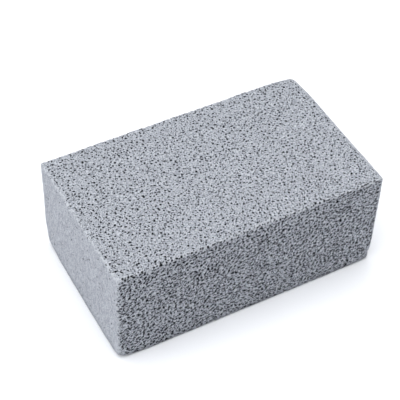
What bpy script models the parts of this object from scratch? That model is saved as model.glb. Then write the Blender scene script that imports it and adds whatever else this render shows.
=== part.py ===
"""Grill cleaning stone: one sawn block of foamed stone, with worn edges and open pores.

The block lies on its bottom face, and its origin is in the middle of that face. Its length runs
along X, its width along Y and its height along Z. The saw ran slightly out of true, so the top
is a little lower along the back edge (+Y) than along the front edge (-Y).
"""

import math
import random

import bmesh
import bpy
from mathutils import Matrix, Vector, noise

MM = 0.001

# Size of the block
LENGTH = 100.0 * MM
WIDTH = 60.0 * MM
FRONT_HEIGHT = 41.8 * MM
BACK_HEIGHT = 40.2 * MM

# How far the edges are rubbed off, and how that comes and goes along them
EDGE_WEAR = 0.8 * MM
WEAR_VARIATION = 0.35
WEAR_WAVELENGTH = 9.0 * MM

# Each corner's own radius, by the side of the block it is on: (end, front or back, bottom or top)
CORNER_WEAR = {
    (-1, -1, -1): 3.0 * MM,
    (-1, 1, -1): 4.6 * MM,
    (1, -1, -1): 2.6 * MM,
    (1, 1, -1): 3.2 * MM,
    (-1, -1, 1): 1.5 * MM,
    (-1, 1, 1): 1.3 * MM,
    (1, -1, 1): 1.0 * MM,
    (1, 1, 1): 2.1 * MM,
}
CORNER_REACH = 9.0 * MM

# Where the plain block is cut into strips, measured in from each of its sides, so that the wear
# has points to move, and how far apart the cuts are between them
STRIPS = (0.4 * MM, 1.2 * MM, 3.2 * MM)
CUT_SPACING = 13.0 * MM
FLAT = 0.0005 * MM

# Pores, as the diameter of their mouths. A wide one has a round floor, a narrow one is a cone.
WIDE_PORE = (1.2 * MM, 1.7 * MM)
NARROW_PORE = (0.8 * MM, 1.1 * MM)
WIDE_SIDES = 6
WIDE_RINGS = 4
NARROW_SIDES = 5
PORE_DEPTH = (0.85, 1.25)
MOUTH_LIFT = 0.12
CONE_LIFT = 0.5
PORE_WALL = 0.35 * MM
EDGE_MARGIN = 1.9 * MM

# Pores that break an edge: their distance apart, and how much of one stands outside the edge
EDGE_PORE_SPACING = 11.0 * MM
EDGE_PORE_OUT = 0.35

# Bits that broke away: how far each is from the corner it is by, and half its size. One is a
# notch in the top edge of the right end, by the far corner. The other is a flake off the lower
# end of the upright edge at the front right.
NOTCH_FROM_CORNER = 6.6 * MM
NOTCH_SIZE = (1.0 * MM, 2.1 * MM, 1.0 * MM)
FLAKE_FROM_CORNER = 4.2 * MM
FLAKE_SIZE = (1.5 * MM, 1.5 * MM, 3.2 * MM)
CHIP_OUT = 0.4

# The bare patch in the middle of the bottom
BARE_RADIUS = 5.0 * MM

SEED = 28

STONE_COLOUR = (0.42, 0.45, 0.50, 1.0)
STONE_ROUGHNESS = 0.95

X = Vector((1.0, 0.0, 0.0))
Y = Vector((0.0, 1.0, 0.0))
Z = Vector((0.0, 0.0, 1.0))

# The six sides: outward normal, the direction that is across on it, how many wide and narrow
# pores it has, how much longer than wide they are, and how they lean from the across direction.
# The bubbles were drawn out along the slab, which shows on the long sides. The ends have a
# closed skin with few pores.
SIDES = {
    "top": (Z, X, 30, 96, (1.0, 1.35), 0.0, math.pi),
    "bottom": (-Z, X, 24, 76, (1.0, 1.35), 0.0, math.pi),
    "front": (-Y, X, 24, 74, (1.4, 2.1), math.radians(41.0), math.radians(14.0)),
    "back": (Y, -X, 22, 66, (1.4, 2.1), math.radians(-41.0), math.radians(14.0)),
    "left end": (-X, -Y, 2, 9, (1.0, 1.3), 0.0, math.pi),
    "right end": (X, Y, 3, 12, (1.0, 1.3), 0.0, math.pi),
}


def clear_scene():
    """Remove the objects that are there."""
    for thing in list(bpy.data.objects):
        bpy.data.objects.remove(thing, do_unlink=True)


def new_collection(name):
    """A collection of that name in the scene."""
    collection = bpy.data.collections.new(name)
    bpy.context.scene.collection.children.link(collection)
    return collection


def new_object(name, bm, collection):
    """An object from a bmesh, which is freed."""
    mesh = bpy.data.meshes.new(name)
    bm.to_mesh(mesh)
    bm.free()
    thing = bpy.data.objects.new(name, mesh)
    collection.objects.link(thing)
    return thing


def stone_material():
    """Foamed stone: pale bluish grey and dull all over."""
    material = bpy.data.materials.new("foamed stone")
    material.use_nodes = True
    shader = material.node_tree.nodes["Principled BSDF"]
    shader.inputs["Base Color"].default_value = STONE_COLOUR
    shader.inputs["Roughness"].default_value = STONE_ROUGHNESS
    shader.inputs["Metallic"].default_value = 0.0
    return material


def height_at(y):
    """The height of the top over a place across the width."""
    share = y / WIDTH + 0.5
    return FRONT_HEIGHT + (BACK_HEIGHT - FRONT_HEIGHT) * share


def smooth_step(share):
    """From 1 at 0 down to 0 at 1, level at both."""
    share = min(max(share, 0.0), 1.0)
    return 1.0 - share * share * (3.0 - 2.0 * share)


def wear_at(point):
    """The radius to which an edge or corner is worn near a point of the plain block."""
    wave = noise.noise(point / WEAR_WAVELENGTH)
    radius = EDGE_WEAR * (1.0 + WEAR_VARIATION * wave)
    for (end, across, up), own in CORNER_WEAR.items():
        corner = Vector((end * LENGTH / 2, across * WIDTH / 2, FRONT_HEIGHT * (up + 1) / 2))
        share = (point - corner).length / CORNER_REACH
        radius += (own - EDGE_WEAR) * smooth_step(share)
    return radius


def worn(point):
    """Where wear brings a point of the plain block's surface."""
    radius = wear_at(point)
    low = Vector((-LENGTH / 2, -WIDTH / 2, 0.0))
    high = Vector((LENGTH / 2, WIDTH / 2, FRONT_HEIGHT))
    core = Vector([min(max(p, a + radius), b - radius) for p, a, b in zip(point, low, high)])
    out = point - core
    placed = core + out.normalized() * radius
    placed.z *= height_at(placed.y) / FRONT_HEIGHT
    return placed


def cut_places(half):
    """Where the block is cut along an axis, from its middle out to both sides."""
    inner = half - STRIPS[-1]
    count = max(1, round(2 * inner / CUT_SPACING))
    places = [-inner + 2 * inner * i / count for i in range(count + 1)]
    for strip in STRIPS[:-1]:
        places += [half - strip, strip - half]
    return places


def is_sawn(point, normal):
    """Whether a point is on the flat of the side that faces a direction."""
    if normal == Z:
        return abs(point.z - height_at(point.y)) < FLAT
    side = abs(Vector((LENGTH / 2, WIDTH / 2, 0.0)).dot(normal))
    return abs(point.dot(normal) - side) < FLAT


def make_block(collection):
    """The sawn block with its edges and corners worn."""
    bm = bmesh.new()
    size = Matrix.Diagonal((LENGTH, WIDTH, FRONT_HEIGHT, 1.0))
    bmesh.ops.create_cube(bm, size=1.0, matrix=Matrix.Translation(Z * FRONT_HEIGHT / 2) @ size)
    for axis, half in ((X, LENGTH / 2), (Y, WIDTH / 2), (Z, FRONT_HEIGHT / 2)):
        for place in cut_places(half):
            everything = bm.verts[:] + bm.edges[:] + bm.faces[:]
            middle = Z * FRONT_HEIGHT / 2
            bmesh.ops.bisect_plane(bm, geom=everything, plane_co=middle + axis * place, plane_no=axis)
    for vert in bm.verts:
        vert.co = worn(vert.co.copy())
    for normal, *_ in SIDES.values():
        sawn = [face for face in bm.faces if all(is_sawn(vert.co, normal) for vert in face.verts)]
        bmesh.ops.dissolve_faces(bm, faces=sawn, use_verts=True)
    rounded = [face for face in bm.faces if len(face.verts) < 5]
    bmesh.ops.triangulate(bm, faces=rounded)
    return new_object("stone", bm, collection)


def side_size(normal, across):
    """Half the length and half the height of a side, and its middle."""
    half = Vector((LENGTH / 2, WIDTH / 2, BACK_HEIGHT / 2))
    up = normal.cross(across)
    along = abs(half.dot(across))
    rise = abs(half.dot(up))
    middle = Z * BACK_HEIGHT / 2 + normal * abs(half.dot(normal))
    return along, rise, middle


def on_surface(point, normal):
    """A point of a side moved to the sawn face: the front is taller, and the top slopes."""
    if normal == Z:
        return Vector((point.x, point.y, height_at(point.y)))
    return point


def pore_frame(place, normal, across, lean):
    """A frame at a pore's mouth, with Z out of the stone and X along the pore."""
    up = normal.cross(across)
    along = across * math.cos(lean) + up * math.sin(lean)
    side = normal.cross(along)
    turn = Matrix((along, side, normal)).transposed().to_4x4()
    return Matrix.Translation(place) @ turn


def wide_pore(bm, frame, radius, stretch, depth):
    """A round-floored pore: the lower part of a faceted bubble."""
    lift = Matrix.Translation(Z * radius * MOUTH_LIFT)
    shape = Matrix.Diagonal((radius * stretch, radius, radius * depth, 1.0))
    bmesh.ops.create_uvsphere(
        bm, u_segments=WIDE_SIDES, v_segments=WIDE_RINGS, radius=1.0, matrix=frame @ lift @ shape
    )


def narrow_pore(bm, frame, radius, stretch, depth):
    """A small pore: a cone with its point in the stone and its wide end above the mouth."""
    tip = radius * depth * 1.5
    top = radius * CONE_LIFT
    wide_end = radius * (tip + top) / tip
    shape = Matrix.Diagonal((wide_end * stretch, wide_end, tip + top, 1.0))
    lift = Matrix.Translation(Z * (top - tip) / 2)
    bmesh.ops.create_cone(
        bm,
        cap_ends=True,
        segments=NARROW_SIDES,
        radius1=0.0,
        radius2=1.0,
        depth=1.0,
        matrix=frame @ lift @ shape,
    )


def is_free(place, reach, taken):
    """Whether a pore of that reach keeps a wall of stone to all the others."""
    return all((place - other).length > reach + far + PORE_WALL for other, far in taken)


def add_pores(bm, dice, side, taken):
    """The pores of one side, set out at random with stone left between them."""
    normal, across, wide_count, narrow_count, stretches, lean, spread = side
    along, rise, middle = side_size(normal, across)
    up = normal.cross(across)
    kinds = ((wide_count, WIDE_PORE, wide_pore), (narrow_count, NARROW_PORE, narrow_pore))
    for count, sizes, make in kinds:
        made = 0
        while made < count:
            radius = dice.uniform(*sizes) / 2
            stretch = dice.uniform(*stretches)
            reach = radius * stretch
            room = EDGE_MARGIN + reach
            u = dice.uniform(room - along, along - room)
            v = dice.uniform(room - rise, rise - room)
            place = on_surface(middle + across * u + up * v, normal)
            bare = normal == -Z and place.length < BARE_RADIUS + reach
            if bare or not is_free(place, reach, taken):
                continue
            turn = lean + dice.uniform(-spread, spread)
            make(bm, pore_frame(place, normal, across, turn), radius, stretch, dice.uniform(*PORE_DEPTH))
            taken.append((place, reach))
            made += 1


def block_edges():
    """The edges that pores break: their ends, and the two outward directions beside them."""
    x, y = LENGTH / 2, WIDTH / 2
    for front in (-1, 1):
        top = height_at(front * y)
        yield Vector((-x, front * y, top)), Vector((x, front * y, top)), Y * front, Z
        yield Vector((-x, front * y, 0.0)), Vector((x, front * y, 0.0)), Y * front, -Z
    for end in (-1, 1):
        yield Vector((end * x, -y, height_at(-y))), Vector((end * x, y, height_at(y))), X * end, Z
        for front in (-1, 1):
            top = height_at(front * y)
            yield Vector((end * x, front * y, 0.0)), Vector((end * x, front * y, top)), X * end, Y * front


def add_edge_pores(bm, dice, taken):
    """Pores that the saw or wear opened along the edges, each a small notch."""
    for start, end, first, second in block_edges():
        length = (end - start).length
        along = (end - start).normalized()
        out = (first + second).normalized()
        count = int((length - CORNER_REACH) / EDGE_PORE_SPACING)
        for i in range(count):
            radius = dice.uniform(*WIDE_PORE) / 2
            share = (i + 0.5 + dice.uniform(-0.3, 0.3)) / count
            at = CORNER_REACH / 2 + share * (length - CORNER_REACH)
            place = start + along * at - out * radius * EDGE_PORE_OUT
            if not is_free(place, radius, taken):
                continue
            frame = pore_frame(place, out, along, 0.0)
            shape = Matrix.Diagonal((radius * dice.uniform(1.0, 1.5), radius, radius, 1.0))
            tumble = Matrix.Rotation(dice.uniform(0.2, 0.8), 4, "X")
            bmesh.ops.create_icosphere(bm, subdivisions=1, radius=1.0, matrix=frame @ tumble @ shape)
            taken.append((place, radius))


def add_chips(bm, taken):
    """The two bits that broke away from the edges."""
    x, y = LENGTH / 2, WIDTH / 2
    notch = Vector((x, y - NOTCH_FROM_CORNER, height_at(y - NOTCH_FROM_CORNER)))
    flake = Vector((x, -y, FLAKE_FROM_CORNER))
    for place, size, out in ((notch, NOTCH_SIZE, X + Z), (flake, FLAKE_SIZE, X - Y)):
        middle = place + out.normalized() * min(size) * CHIP_OUT
        shape = Matrix.Translation(middle) @ Matrix.Diagonal((*size, 1.0))
        bmesh.ops.create_icosphere(bm, subdivisions=1, radius=1.0, matrix=shape)
        taken.append((place, max(size)))


def make_pores(collection):
    """All the pores as one cutter: closed bodies that don't touch each other."""
    dice = random.Random(SEED)
    bm = bmesh.new()
    taken = []
    add_chips(bm, taken)
    add_edge_pores(bm, dice, taken)
    for side in SIDES.values():
        add_pores(bm, dice, side, taken)
    bmesh.ops.recalc_face_normals(bm, faces=bm.faces[:])
    cutter = new_object("pores", bm, collection)
    cutter.hide_render = True
    cutter.display_type = "WIRE"
    return cutter


def main():
    """Build the stone and cut its pores."""
    clear_scene()
    parts = new_collection("grill cleaning stone")
    cutters = new_collection("cutters")
    stone = make_block(parts)
    stone.data.materials.append(stone_material())
    pores = make_pores(cutters)
    cut = stone.modifiers.new("open pores", "BOOLEAN")
    cut.operation = "DIFFERENCE"
    cut.solver = "EXACT"
    cut.object = pores


main()
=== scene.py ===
import math

import bpy
import numpy as np
from mathutils import Matrix, Vector, noise
from mathutils.bvhtree import BVHTree


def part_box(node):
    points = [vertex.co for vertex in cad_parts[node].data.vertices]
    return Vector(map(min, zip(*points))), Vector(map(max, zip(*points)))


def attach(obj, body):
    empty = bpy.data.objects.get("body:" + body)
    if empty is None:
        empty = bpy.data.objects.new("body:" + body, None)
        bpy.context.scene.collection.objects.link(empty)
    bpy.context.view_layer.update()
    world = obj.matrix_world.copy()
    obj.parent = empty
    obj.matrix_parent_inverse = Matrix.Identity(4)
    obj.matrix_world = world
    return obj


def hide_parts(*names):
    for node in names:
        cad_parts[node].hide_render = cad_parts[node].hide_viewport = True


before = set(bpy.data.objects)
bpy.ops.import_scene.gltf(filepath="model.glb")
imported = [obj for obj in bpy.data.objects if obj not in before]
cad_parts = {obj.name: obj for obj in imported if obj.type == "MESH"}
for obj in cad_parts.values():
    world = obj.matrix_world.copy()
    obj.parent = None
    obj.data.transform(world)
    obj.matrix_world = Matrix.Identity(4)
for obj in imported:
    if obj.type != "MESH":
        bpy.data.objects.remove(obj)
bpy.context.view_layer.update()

# The looks of a grill cleaning stone: a block sawn from foamed glass stone. Its pores are real
# hollows, cut into the block in several sizes, and only the finest are left to the material.

MM = 0.001
SQUARE_CM = 1e-4

# The block, from its solid. The saw ran out of true, so the top drops towards the back.
LOW, HIGH = (np.array(corner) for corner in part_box("stone"))
SIZE = HIGH - LOW
MIDDLE = (HIGH + LOW) / 2
TOP_DROP = 1.6 * MM

# How far the edges are rubbed off, and how that comes and goes along them
EDGE_WEAR = 0.8 * MM
WEAR_VARIATION = 0.5
WEAR_WAVELENGTH = 6.0 * MM
CORNER_WEAR = {
    (-1, -1, -1): 3.0 * MM,
    (-1, 1, -1): 4.6 * MM,
    (1, -1, -1): 2.2 * MM,
    (1, 1, -1): 3.2 * MM,
    (-1, -1, 1): 1.5 * MM,
    (-1, 1, 1): 0.8 * MM,
    (1, -1, 1): 1.0 * MM,
    (1, 1, 1): 2.7 * MM,
}
CORNER_REACH = 9.0 * MM

# Cuts across the block that give the wear points to move: close together by the edges
EDGE_STRIPS = (0.3 * MM, 0.7 * MM, 1.3 * MM, 2.4 * MM, 4.5 * MM)
CUT_SPACING = 6.0 * MM

# Two bits broke away: one from the top edge near the far corner, one above the right bottom
# corner. Each is a hollow, with its middle and its size.
CHIPS = (
    (np.array((50.0, 25.2, 40.4)) * MM, np.array((0.9, 1.3, 0.9)) * MM),
    (np.array((50.0, -30.0, 3.2)) * MM, np.array((2.0, 2.0, 2.1)) * MM),
)

# Small crumbled spots along the edges
NICK_SPACING = (2.1 * MM, 4.2 * MM)
NICK_RADIUS = (0.5 * MM, 0.95 * MM)
NICK_LIFT = 0.35
NICK_BALL = (6, 3)
NICKS_FROM_CORNER = 2.5 * MM

# The waves of the sawn surface, each with its length and height, and how many lengths apart the
# noise is read for the three directions
WAVES = ((9.0 * MM, 0.10 * MM), (2.4 * MM, 0.03 * MM), (0.8 * MM, 0.02 * MM))
WAVE_SHIFT = 100.0

# The direction in which the bubbles were drawn out as the slab rose, as a lean above the length
BUBBLE_LEAN = math.radians(41.0)
LEAN_SPREAD = math.radians(30.0)

# Each batch of pores: the width of its mouths, how many there are to a square centimetre, the
# depth against the width, how many sides and how many rings a bubble has. A bubble without rings
# is a cone, which is cheaper in faces.
BATCHES = (
    ("wide pores", 0.74 * MM, 1.0 * MM, 6.5, 1.2, 6, 3),
    ("middling pores", 0.54 * MM, 0.74 * MM, 16.0, 1.5, 6, 0),
    ("small pores", 0.39 * MM, 0.54 * MM, 19.0, 1.7, 5, 0),
)
DEPTH_SPREAD = (0.8, 1.2)
MOUTH_LIFT = 0.2
CONE_TOP = 0.3 * MM
RAGGED = 0.14
SEED = 28

# How the pores lie: those of one batch never meet, and a few of the smaller ones open into wider
# ones. They gather in clusters, drawn out into streaks.
PORE_WALL = 0.28 * MM
OPENING_INTO_OTHERS = 0.10
EVEN_CROWD = 0.5
CLUSTER_SIZE = 5.0 * MM
CLUSTER_SHIFT = 3.7
STREAKED = 0.65
FINER_TO_THE_RIGHT = 0.05
GRID_CELL = 2.5 * MM
MOST_TRIES = 12

# No pore opens in the closed rim round the ends, which is wider by a worn corner, or at a corner
CLOSED_RIM = 0.9 * MM
RIM_AGAINST_WEAR = 0.9
WIDEST_RIM = 4.2 * MM
BARE_CORNER = 2.2 * MM

# The pores of each side: how dense and how wide they are against the rest, how long against their
# width, how much they gather in clusters, and whether they lean. The ends have a closed skin.
SIDES = {
    "top": ((0, 0, 1), (1, 0, 0), 1.0, 0.94, (1.0, 1.4), 0.05, False),
    "bottom": ((0, 0, -1), (1, 0, 0), 0.9, 1.0, (1.0, 1.4), 0.1, False),
    "front": ((0, -1, 0), (1, 0, 0), 1.3, 1.08, (1.2, 1.8), 0.3, True),
    "back": ((0, 1, 0), (-1, 0, 0), 1.1, 1.08, (1.2, 1.8), 0.3, True),
    "left end": ((-1, 0, 0), (0, -1, 0), 0.12, 0.9, (1.0, 1.3), 0.4, False),
    "right end": ((1, 0, 0), (0, 1, 0), 0.12, 0.9, (1.0, 1.3), 0.4, False),
}

# The finest pores, which the material draws as dots of painted shade: how far apart and how wide
# they are, how they vary and how drawn out they are. They are wider on the front and back, and
# fewer show on the skin.
FINE_SPACING = 0.68 * MM
FINE_RADIUS = 0.21 * MM
FINE_COARSE = 0.29 * MM
FINE_SIZES = (0.6, 1.35)
FINE_STRETCH = 1.5
FINE_INNER = 0.6
FINE_ON_SKIN = 0.4
COARSE_BAND = (0.9 * MM, 0.4 * MM)

# The grain of the sawn lands, and the depth at which a pore's wall is fully painted in shade
GRAIN = 0.36 * MM
GRAIN_STEP = (0.42, 0.58)
RELIEF = 0.06 * MM
RELIEF_STRENGTH = 0.6
WALL_DEPTH = 0.05 * MM

# The skin of the ends: the share of the rim where it is whole, how its border wanders, and the
# clouds of dust and steep rub marks on it
SKIN_WHOLE = 0.3
SKIN_WANDER = 0.8 * MM
WANDER_LENGTH = 1.5 * MM
SKIN_CLOUD = 0.8 * MM
SKIN_STEEP = 0.35
SKIN_STEP = (0.4, 0.56)
SKIN_GRIT = 0.5

# Dust rubbed into the worn edges, and painted shade at the foot that fades out above it
RUB_SHARE = 0.45
FOOT_SHADE_SHARE = 0.6
FOOT = (0.3 * MM, 4.0 * MM)

# The colours of the stone, and how dull it is
LAND_PALE = "#BCC0C8"
LAND_DARK = "#686D75"
COARSE_PALE = "#C6CAD2"
COARSE_DARK = "#5A5F67"
SKIN_PALE = "#B7BAC1"
SKIN_DARK = "#7A7D84"
RUBBED_EDGE = "#B8BCC3"
# The colour of the painted shade that darkens the foot of the stone
FOOT_SHADE_COLOUR = "#7F838A"
# Painted shade, near black, in the pores and in the finest pores' dots
PAINTED_PORE_SHADE = "#0E1014"
STONE_ROUGHNESS = 0.95
STONE_SPECULAR = 0.2
SMOOTH_BELOW = math.radians(35.0)

# The camera, from the photograph: the block's seven visible corners fall where they should
CAMERA_AIM = Vector((-0.33, 6.511, 20.0)) * MM
CAMERA_DISTANCE = 467.9 * MM
CAMERA_AZIMUTH = math.radians(-29.612)
CAMERA_ELEVATION = math.radians(47.381)
CAMERA_ROLL = math.radians(2.147)
SENSOR_WIDTH = 36.0
LENS = 119.274
NEAREST_SEEN = 10.0 * MM

# The paper floor, a hair below the stone, and soft light: each lamp's name, place, size and power
PAPER = "#F3F5F9"
FLOOR_SIZE = 6.0
FLOOR_DROP = 0.02 * MM
WORLD_LIGHT = 0.45
LAMPS = (
    ("overhead softbox", (-0.1, 0.0, 1.1), 1.3, 17.0),
    ("left softbox", (-1.1, 0.1, 0.18), 0.7, 5.5),
)


def linear(code):
    """An sRGB hex colour as linear red, green, blue and alpha."""
    parts = [int(code[i:i + 2], 16) / 255 for i in (1, 3, 5)]
    return [c / 12.92 if c <= 0.04045 else ((c + 0.055) / 1.055) ** 2.4 for c in parts] + [1.0]


def deselect_all():
    """Nothing is selected, so that an operator acts only on what comes next."""
    if bpy.context.object and bpy.context.object.mode != "OBJECT":
        bpy.ops.object.mode_set(mode="OBJECT")
    bpy.ops.object.select_all(action="DESELECT")


def read_points(mesh):
    """A mesh's points as an array."""
    points = np.empty(len(mesh.vertices) * 3)
    mesh.vertices.foreach_get("co", points)
    return points.reshape(-1, 3)


def write_points(mesh, points):
    """Move a mesh's points to the places in an array."""
    mesh.vertices.foreach_set("co", points.ravel())
    mesh.update()


def smooth_step(share):
    """From 1 at 0 down to 0 at 1, level at both."""
    share = np.clip(share, 0.0, 1.0)
    return 1.0 - share * share * (3.0 - 2.0 * share)


def waves(points, length):
    """A smooth random value from about -1 to 1 at each point."""
    return np.array([noise.noise(Vector(point)) for point in points / length])


def slope(points):
    """The height of the top over each point, against the front edge's."""
    share = (points[:, 1] - LOW[1]) / SIZE[1]
    return 1.0 - share * TOP_DROP / SIZE[2]


def wear_radius(points):
    """The radius to which the edges and corners are worn near each point of the plain block."""
    radius = EDGE_WEAR * (1.0 + WEAR_VARIATION * waves(points, WEAR_WAVELENGTH))
    for side, own in CORNER_WEAR.items():
        corner = MIDDLE + np.array(side) * SIZE / 2
        share = np.linalg.norm(points - corner, axis=1) / CORNER_REACH
        radius += (own - EDGE_WEAR) * smooth_step(share)
    return radius[:, None]


def worn(points):
    """Where wear brings points of the plain block's surface, and which way they then face."""
    radius = wear_radius(points)
    core = np.clip(points, LOW + radius, HIGH - radius)
    out = points - core
    facing = out / np.linalg.norm(out, axis=1)[:, None]
    placed = core + facing * radius
    placed[:, 2] *= slope(placed)
    return placed, facing


def closed_rim(points):
    """How wide the closed rim round the ends is near each point: wider where a corner is worn."""
    return np.maximum(CLOSED_RIM, RIM_AGAINST_WEAR * wear_radius(points)[:, 0])


def edge_rub(points):
    """How much of an edge each point is by: 1 on the crest of a worn edge, 0 on the flats."""
    plain = points.copy()
    plain[:, 2] /= slope(points)
    radius = wear_radius(plain)
    out = np.abs(plain - MIDDLE) - (SIZE / 2 - radius)
    across = np.sort(out, axis=1)[:, -2] / radius[:, 0]
    return np.clip(across / (1.0 - math.sqrt(0.5)), 0.0, 1.0)


def sawn_block():
    """The block as sawn, with its edges and corners worn round."""
    deselect_all()
    bpy.ops.mesh.primitive_cube_add(size=1.0, location=MIDDLE, scale=SIZE)
    block = bpy.context.object
    block.name = "foamed_stone_block"
    bpy.ops.object.transform_apply(location=True, rotation=True, scale=True)
    bpy.ops.object.mode_set(mode="EDIT")
    for axis in range(3):
        inner = SIZE[axis] / 2 - EDGE_STRIPS[-1]
        count = round(2 * inner / CUT_SPACING)
        cuts = [inner * (2 * i / count - 1) for i in range(count + 1)]
        for strip in EDGE_STRIPS[:-1]:
            cuts += [SIZE[axis] / 2 - strip, strip - SIZE[axis] / 2]
        across = np.eye(3)[axis]
        for cut in cuts:
            bpy.ops.mesh.select_all(action="SELECT")
            bpy.ops.mesh.bisect(plane_co=MIDDLE + across * cut, plane_no=across)
    bpy.ops.object.mode_set(mode="OBJECT")
    write_points(block.data, worn(read_points(block.data))[0])
    bpy.ops.object.mode_set(mode="EDIT")
    bpy.ops.mesh.select_all(action="SELECT")
    bpy.ops.mesh.quads_convert_to_tris()
    bpy.ops.object.mode_set(mode="OBJECT")
    return block


def pore_template(sides, rings):
    """One bubble as a closed mesh: a faceted ball, or a cone with its point down."""
    deselect_all()
    if rings:
        bpy.ops.mesh.primitive_uv_sphere_add(segments=sides, ring_count=rings, radius=1.0)
    else:
        bpy.ops.mesh.primitive_cone_add(
            vertices=sides, radius1=0.0, radius2=1.0, depth=1.0, end_fill_type="NGON"
        )
    bubble = bpy.context.object
    points = read_points(bubble.data)
    faces = [tuple(face.vertices) for face in bubble.data.polygons]
    bpy.data.objects.remove(bubble, do_unlink=True)
    return points, faces


def neighbours(grid, key):
    """The pores already set out in a cell of the grid and in those round it."""
    for dx in (-1, 0, 1):
        for dy in (-1, 0, 1):
            for dz in (-1, 0, 1):
                yield from grid.get((key[0] + dx, key[1] + dy, key[2] + dz), ())


def set_out(dice, batch, grid, low, high, per_square_cm):
    """Places for one batch of pores on the plain block: place, direction, radius and stretch."""
    places = []
    for normal, across, density, width, stretches, gathering, leaning in SIDES.values():
        normal, across = np.array(normal, float), np.array(across, float)
        up = np.cross(normal, across)
        half_across, half_up = abs(SIZE @ across) / 2, abs(SIZE @ up) / 2
        middle = MIDDLE + normal * abs(SIZE @ normal) / 2
        rise = BUBBLE_LEAN if normal[1] <= 0 else -BUBBLE_LEAN
        streak = across * math.cos(rise) + up * math.sin(rise)
        wanted = 4 * half_across * half_up / SQUARE_CM * per_square_cm * density
        made = tries = 0
        while made < wanted and tries < wanted * MOST_TRIES:
            tries += 1
            u, v = dice.uniform(-half_across, half_across), dice.uniform(-half_up, half_up)
            place = middle + across * u + up * v
            drawn = place - streak * (place @ streak) * STREAKED
            in_cluster = Vector(drawn / CLUSTER_SIZE + normal * CLUSTER_SHIFT)
            crowd = EVEN_CROWD + gathering * noise.noise(in_cluster)
            if np.linalg.norm(SIZE / 2 - abs(place - MIDDLE)) < BARE_CORNER:
                continue
            gap = SIZE[0] / 2 - abs(place[0])
            if normal[0]:
                gap = min(half_across - abs(u), half_up - abs(v))
            if dice.random() > crowd:
                continue
            if gap < WIDEST_RIM and gap < closed_rim(place[None])[0]:
                continue
            radius = dice.uniform(low, high) / 2 * width
            radius *= 1.0 - FINER_TO_THE_RIGHT * 2 * place[0] / SIZE[0]
            stretch = dice.uniform(*stretches)
            reach = radius * (1.0 + stretch) / 2
            merges = dice.random() < OPENING_INTO_OTHERS
            spot = Vector(place)
            key = tuple(int(c // GRID_CELL) for c in place)
            if any(
                (spot - at).length < reach + far + PORE_WALL
                for at, far, kind in neighbours(grid, key)
                if kind == batch or not merges
            ):
                continue
            grid.setdefault(key, []).append((spot, reach, batch))
            spread = LEAN_SPREAD if leaning else math.pi
            lean = rise + dice.uniform(-spread, spread)
            places.append((place, across * math.cos(lean) + up * math.sin(lean), radius, stretch))
            made += 1
    return [np.array(column) for column in zip(*places)]


def joined_copies(name, points, faces):
    """Copies of one closed shape as a single mesh, from each copy's points and the one's faces."""
    corners = points.shape[1]
    all_faces = [[i + n * corners for i in face] for n in range(len(points)) for face in faces]
    mesh = bpy.data.meshes.new(name)
    mesh.from_pydata(points.reshape(-1, 3).tolist(), [], all_faces)
    copies = bpy.data.objects.new(name, mesh)
    bpy.context.scene.collection.objects.link(copies)
    return copies


def pore_cutter(name, dice, grid, low, high, per_square_cm, depth, sides, rings):
    """One batch of pores as a single mesh of closed bubbles."""
    template, faces = pore_template(sides, rings)
    places, along, radius, stretch = set_out(dice, name, grid, low, high, per_square_cm)
    mouths, facing = worn(places)
    along -= facing * (along * facing).sum(axis=1)[:, None]
    along /= np.linalg.norm(along, axis=1)[:, None]
    side = np.cross(facing, along)
    ragged = 1.0 + dice.uniform(-RAGGED, RAGGED, (len(places), len(template), 1))
    shape = template[None] * ragged
    deep = radius * 2.0 * depth * dice.uniform(*DEPTH_SPREAD, len(places))
    if rings:
        shape[:, :, 2] = shape[:, :, 2] * deep[:, None] + radius[:, None] * MOUTH_LIFT
        wide = radius
    else:
        shape[:, :, 2] = (template[:, 2] + 0.5) * (deep[:, None] + CONE_TOP) - deep[:, None]
        wide = radius * (deep + CONE_TOP) / deep
    points = mouths[:, None] + shape[:, :, 2:] * facing[:, None]
    points += shape[:, :, 1:2] * wide[:, None, None] * side[:, None]
    points += shape[:, :, :1] * (wide * stretch)[:, None, None] * along[:, None]
    return joined_copies(name, points, faces)


def cut_out(block, cutter):
    """Cut one closed mesh out of the block, and remove it."""
    cut = block.modifiers.new(cutter.name, "BOOLEAN")
    cut.operation = "DIFFERENCE"
    cut.solver = "MANIFOLD"
    cut.object = cutter
    deselect_all()
    bpy.context.view_layer.objects.active = block
    bpy.ops.object.modifier_apply(modifier=cut.name)
    bpy.data.objects.remove(cutter, do_unlink=True)


def edge_nicks():
    """Crumbled spots along every edge, as one mesh of closed balls."""
    dice = np.random.default_rng(SEED)
    template, faces = pore_template(*NICK_BALL)
    places = []
    for axis in range(3):
        others = np.delete(np.arange(3), axis)
        for one, other in ((-1, -1), (-1, 1), (1, -1), (1, 1)):
            along = NICKS_FROM_CORNER - SIZE[axis] / 2
            while along < SIZE[axis] / 2 - NICKS_FROM_CORNER:
                place = MIDDLE.copy()
                place[axis] += along
                place[others] += np.array((one, other)) * SIZE[others] / 2
                places.append(place)
                along += dice.uniform(*NICK_SPACING)
    crests, facing = worn(np.array(places))
    radius = dice.uniform(*NICK_RADIUS, len(places))[:, None]
    ragged = 1.0 + dice.uniform(-RAGGED, RAGGED, (len(places), len(template), 1))
    points = (crests + facing * radius * NICK_LIFT)[:, None]
    points = points + template[None] * ragged * radius[:, :, None]
    return joined_copies("edge nicks", points, faces)


def break_edges(block):
    """Take the two chips and the nicks off the edges."""
    for middle, size in CHIPS:
        deselect_all()
        bpy.ops.mesh.primitive_ico_sphere_add(
            subdivisions=2, radius=1.0, location=middle, scale=size
        )
        chip = bpy.context.object
        bpy.ops.object.transform_apply(location=True, rotation=True, scale=True)
        cut_out(block, chip)
    cut_out(block, edge_nicks())


def open_pores(block):
    """Cut each batch of pores into the block."""
    dice = np.random.default_rng(SEED)
    grid = {}
    for name, *facts in BATCHES:
        cut_out(block, pore_cutter(name, dice, grid, *facts))


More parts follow.
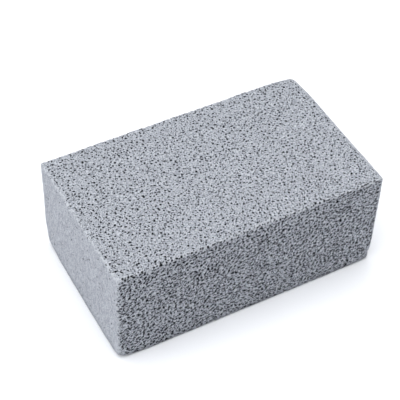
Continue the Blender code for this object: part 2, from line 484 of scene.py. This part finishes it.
def drop_crumbs(block):
    """Remove bits that pores cut off all round, which would hang in the air."""
    deselect_all()
    block.select_set(True)
    bpy.context.view_layer.objects.active = block
    bpy.ops.object.mode_set(mode="EDIT")
    bpy.ops.mesh.select_all(action="SELECT")
    bpy.ops.mesh.separate(type="LOOSE")
    bpy.ops.object.mode_set(mode="OBJECT")
    bits = [o for o in bpy.context.selected_objects if o.type == "MESH"]
    bits.sort(key=lambda o: len(o.data.vertices))
    for crumb in bits[:-1]:
        bpy.data.objects.remove(crumb, do_unlink=True)
    bits[-1].name = "foamed_stone_block"
    return bits[-1]


def surface_of(block):
    """The block's surface before the pores, to measure from."""
    points = [point.co for point in block.data.vertices]
    return BVHTree.FromPolygons(points, [tuple(face.vertices) for face in block.data.polygons])


def roughen(block, surface):
    """Note each point's depth, edge and rim for the material, and give the surface its waves."""
    points = read_points(block.data)
    depth = np.array([surface.find_nearest(Vector(point))[3] for point in points])
    noted = {"depth": depth, "rub": edge_rub(points), "rim": closed_rim(points)}
    for name, values in noted.items():
        attribute = block.data.attributes.new(name, "FLOAT", "POINT")
        attribute.data.foreach_set("value", values)
    for length, height in WAVES:
        for axis in range(3):
            shifted = points + WAVE_SHIFT * length * np.eye(3)[axis]
            points[:, axis] += height * waves(shifted, length)
    points[:, 2] = np.maximum(points[:, 2], 0.0)
    write_points(block.data, points)


def add_node(tree, kind, inputs=None, links=None, **settings):
    """A node with its settings, its input values and its links from other nodes' outputs."""
    node = tree.nodes.new(kind)
    for name, value in settings.items():
        setattr(node, name, value)
    for name, value in (inputs or {}).items():
        node.inputs[name].default_value = value
    for name, output in (links or {}).items():
        tree.links.new(output, node.inputs[name])
    return node


def foamed_stone():
    """Foamed glass stone, sawn and dusty.

    The saw leaves pale dust on the lands between the pores, while their walls and the finest
    pores are painted near black as painted shade deep in the pores.
    """
    material = bpy.data.materials.new("sawn foamed glass stone")
    material.use_nodes = True
    tree = material.node_tree
    shader = tree.nodes["Principled BSDF"]
    place = add_node(tree, "ShaderNodeTexCoord").outputs["Object"]
    depth = add_node(tree, "ShaderNodeAttribute", attribute_name="depth").outputs["Fac"]
    rub = add_node(tree, "ShaderNodeAttribute", attribute_name="rub").outputs["Fac"]
    rim = add_node(tree, "ShaderNodeAttribute", attribute_name="rim").outputs["Fac"]

    # The skin on the ends, which turns the corner a little before the pores begin
    parts = add_node(tree, "ShaderNodeSeparateXYZ", links={0: place})
    along, inward, height = parts.outputs["X"], parts.outputs["Y"], parts.outputs["Z"]
    wander = add_node(
        tree, "ShaderNodeTexNoise", {"Scale": 1 / WANDER_LENGTH, "Detail": 1.0}, {"Vector": place}
    ).outputs["Fac"]
    shifted = add_node(
        tree, "ShaderNodeMath", {1: SKIN_WANDER}, {0: wander, 2: along}, operation="MULTIPLY_ADD"
    ).outputs["Value"]
    from_middle = add_node(
        tree, "ShaderNodeMath", links={0: shifted}, operation="ABSOLUTE"
    ).outputs["Value"]
    from_end = add_node(
        tree, "ShaderNodeMath", {0: SIZE[0] / 2}, {1: from_middle}, operation="SUBTRACT"
    ).outputs["Value"]
    beyond_rim = add_node(
        tree, "ShaderNodeMath", links={0: from_end, 1: rim}, operation="DIVIDE"
    ).outputs["Value"]
    skin = add_node(
        tree, "ShaderNodeMapRange", {"From Min": 1.0, "From Max": SKIN_WHOLE},
        {"Value": beyond_rim},
    ).outputs["Result"]
    sawn = add_node(
        tree, "ShaderNodeMath", {1: FINE_ON_SKIN - 1.0, 2: 1.0}, {0: skin},
        operation="MULTIPLY_ADD",
    ).outputs["Value"]

    # The front and back, sawn across the rise, are coarser than the top and the underside
    from_centre = add_node(
        tree, "ShaderNodeMath", links={0: inward}, operation="ABSOLUTE"
    ).outputs["Value"]
    coarse = add_node(
        tree, "ShaderNodeMapRange",
        {"From Min": SIZE[1] / 2 - COARSE_BAND[0], "From Max": SIZE[1] / 2 - COARSE_BAND[1]},
        {"Value": from_centre},
    ).outputs["Result"]

    # The finest pores, drawn out in the same direction as the others, as dots of painted shade
    drawn_out = add_node(
        tree, "ShaderNodeMapping",
        {"Rotation": (0.0, BUBBLE_LEAN, 0.0), "Scale": (1 / FINE_STRETCH, 1.0, 1.0)},
        {"Vector": place},
    ).outputs["Vector"]
    bubbles = add_node(
        tree, "ShaderNodeTexVoronoi", {"Scale": 1 / FINE_SPACING}, {"Vector": drawn_out}
    )
    reach = add_node(
        tree, "ShaderNodeMapRange",
        {"To Min": FINE_RADIUS / FINE_SPACING, "To Max": FINE_COARSE / FINE_SPACING},
        {"Value": coarse},
    ).outputs["Result"]
    chance = add_node(
        tree, "ShaderNodeSeparateColor", links={"Color": bubbles.outputs["Color"]}
    ).outputs["Red"]
    share = add_node(
        tree, "ShaderNodeMapRange", {"To Min": FINE_SIZES[0], "To Max": FINE_SIZES[1]},
        {"Value": chance},
    ).outputs["Result"]
    own_reach = add_node(
        tree, "ShaderNodeMath", links={0: reach, 1: share}, operation="MULTIPLY"
    ).outputs["Value"]
    inner_reach = add_node(
        tree, "ShaderNodeMath", {1: FINE_INNER}, {0: own_reach}, operation="MULTIPLY"
    ).outputs["Value"]
    fine_pores = add_node(
        tree, "ShaderNodeMapRange", {"To Min": 1.0, "To Max": 0.0},
        {"Value": bubbles.outputs["Distance"], "From Min": inner_reach, "From Max": own_reach},
    ).outputs["Result"]
    open_fine = add_node(
        tree, "ShaderNodeMath", links={0: fine_pores, 1: sawn}, operation="MULTIPLY"
    ).outputs["Value"]

    # Grain: crumbs of glass that catch the light, and the hollows between them
    grain = add_node(
        tree, "ShaderNodeTexNoise", {"Scale": 1 / GRAIN, "Detail": 3.0, "Roughness": 0.8},
        {"Vector": place},
    ).outputs["Fac"]
    crisp = add_node(
        tree, "ShaderNodeMapRange", {"From Min": GRAIN_STEP[0], "From Max": GRAIN_STEP[1]},
        {"Value": grain},
    ).outputs["Result"]
    hollow = add_node(
        tree, "ShaderNodeMix", {6: linear(LAND_DARK), 7: linear(COARSE_DARK)}, {0: coarse},
        data_type="RGBA",
    ).outputs[2]
    crest = add_node(
        tree, "ShaderNodeMix", {6: linear(LAND_PALE), 7: linear(COARSE_PALE)}, {0: coarse},
        data_type="RGBA",
    ).outputs[2]
    land = add_node(
        tree, "ShaderNodeMix", links={0: crisp, 6: hollow, 7: crest}, data_type="RGBA"
    ).outputs[2]

    # Cloudy dust and steep rub marks on the skin
    streaks = add_node(
        tree, "ShaderNodeMapping", {"Scale": (1.0, 1.0, SKIN_STEEP)}, {"Vector": place}
    ).outputs["Vector"]
    cloud = add_node(
        tree, "ShaderNodeTexNoise", {"Scale": 1 / SKIN_CLOUD, "Detail": 4.0, "Roughness": 0.75},
        {"Vector": streaks},
    ).outputs["Fac"]
    clear = add_node(
        tree, "ShaderNodeMapRange", {"From Min": SKIN_STEP[0], "From Max": SKIN_STEP[1]},
        {"Value": cloud},
    ).outputs["Result"]
    skin_colour = add_node(
        tree, "ShaderNodeMix", {6: linear(SKIN_DARK), 7: linear(SKIN_PALE)}, {0: clear},
        data_type="RGBA",
    ).outputs[2]

    # The skin and the lands together, then dust on the edges, painted shade at the foot and
    # painted shade in the pores
    gritty = add_node(
        tree, "ShaderNodeMix", {0: SKIN_GRIT}, {6: skin_colour, 7: land}, data_type="RGBA"
    ).outputs[2]
    surface = add_node(
        tree, "ShaderNodeMix", links={0: skin, 6: land, 7: gritty}, data_type="RGBA"
    ).outputs[2]
    above_foot = add_node(
        tree, "ShaderNodeMapRange",
        {"From Min": FOOT[0], "From Max": FOOT[1], "To Max": RUB_SHARE}, {"Value": height},
    ).outputs["Result"]
    rubbed = add_node(
        tree, "ShaderNodeMath", links={0: rub, 1: above_foot}, operation="MULTIPLY"
    ).outputs["Value"]
    edged = add_node(
        tree, "ShaderNodeMix", {7: linear(RUBBED_EDGE)}, {0: rubbed, 6: surface},
        data_type="RGBA",
    ).outputs[2]
    # Painted shade: the colour darkens towards the foot of the stone
    foot_shade_mask = add_node(
        tree, "ShaderNodeMapRange",
        {"From Min": FOOT[0], "From Max": FOOT[1], "To Min": FOOT_SHADE_SHARE, "To Max": 0.0},
        {"Value": height},
    ).outputs["Result"]
    with_foot_shade = add_node(
        tree, "ShaderNodeMix", {7: linear(FOOT_SHADE_COLOUR)}, {0: foot_shade_mask, 6: edged}, data_type="RGBA"
    ).outputs[2]
    # Painted shade in the dots of the finest pores
    dotted = add_node(
        tree, "ShaderNodeMix", {7: linear(PAINTED_PORE_SHADE)}, {0: open_fine, 6: with_foot_shade},
        data_type="RGBA",
    ).outputs[2]
    # Painted shade on the pores' walls, full from the wall depth down
    in_pore = add_node(
        tree, "ShaderNodeMapRange", {"From Min": 0.0, "From Max": WALL_DEPTH},
        {"Value": depth},
    ).outputs["Result"]
    colour = add_node(
        tree, "ShaderNodeMix", {7: linear(PAINTED_PORE_SHADE)}, {0: in_pore, 6: dotted},
        data_type="RGBA",
    ).outputs[2]
    tree.links.new(colour, shader.inputs["Base Color"])

    # The relief of the grain and of the finest pores
    relief = add_node(
        tree, "ShaderNodeMath", {1: -1.0}, {0: open_fine, 2: crisp}, operation="MULTIPLY_ADD"
    ).outputs["Value"]
    bump = add_node(
        tree, "ShaderNodeBump", {"Strength": RELIEF_STRENGTH, "Distance": RELIEF},
        {"Height": relief},
    ).outputs["Normal"]
    tree.links.new(bump, shader.inputs["Normal"])
    shader.inputs["Roughness"].default_value = STONE_ROUGHNESS
    shader.inputs["Specular IOR Level"].default_value = STONE_SPECULAR
    return material


def make_stone():
    """The whole stone, which stands for its solid."""
    block = sawn_block()
    break_edges(block)
    surface = surface_of(block)
    open_pores(block)
    block = drop_crumbs(block)
    roughen(block, surface)
    block.data.materials.clear()
    block.data.materials.append(foamed_stone())
    deselect_all()
    block.select_set(True)
    bpy.context.view_layer.objects.active = block
    bpy.ops.object.shade_smooth_by_angle(angle=SMOOTH_BELOW)
    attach(block, "root")
    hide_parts("stone")


def plain_material(name, colour):
    """A material of one colour without gloss."""
    material = bpy.data.materials.new(name)
    material.use_nodes = True
    shader = material.node_tree.nodes["Principled BSDF"]
    shader.inputs["Base Color"].default_value = linear(colour)
    shader.inputs["Roughness"].default_value = 1.0
    shader.inputs["Specular IOR Level"].default_value = 0.0
    return material


def studio():
    """A pale paper floor and soft light from above and from the left."""
    deselect_all()
    bpy.ops.mesh.primitive_plane_add(size=FLOOR_SIZE, location=(0, 0, -FLOOR_DROP))
    floor = bpy.context.object
    floor.name = "studio_floor"
    floor.data.materials.append(plain_material("white paper", PAPER))
    world = bpy.context.scene.world or bpy.data.worlds.new("studio air")
    bpy.context.scene.world = world
    world.use_nodes = True
    world.node_tree.nodes["Background"].inputs["Color"].default_value = (1, 1, 1, 1)
    world.node_tree.nodes["Background"].inputs["Strength"].default_value = WORLD_LIGHT
    for name, place, size, power in LAMPS:
        lamp = bpy.data.lights.new(name, "AREA")
        lamp.shape = "SQUARE"
        lamp.size = size
        lamp.energy = power
        thing = bpy.data.objects.new(name, lamp)
        thing.location = place
        thing.rotation_euler = (-Vector(place)).to_track_quat("-Z", "Y").to_euler()
        bpy.context.scene.collection.objects.link(thing)


def camera():
    """The camera where the photograph was taken from, with the little roll that it had."""
    turn = (
        Matrix.Rotation(CAMERA_AZIMUTH, 4, "Z")
        @ Matrix.Rotation(math.pi / 2 - CAMERA_ELEVATION, 4, "X")
        @ Matrix.Rotation(CAMERA_ROLL, 4, "Z")
    )
    lens = bpy.data.cameras.new("camera")
    lens.lens = LENS
    lens.sensor_width = SENSOR_WIDTH
    lens.clip_start = NEAREST_SEEN
    thing = bpy.data.objects.new("camera", lens)
    back = Matrix.Translation((0, 0, CAMERA_DISTANCE))
    thing.matrix_world = Matrix.Translation(CAMERA_AIM) @ turn @ back
    bpy.context.scene.collection.objects.link(thing)
    bpy.context.scene.camera = thing


camera()
studio()
make_stone()
bpy.context.scene.view_settings.view_transform = "Standard"
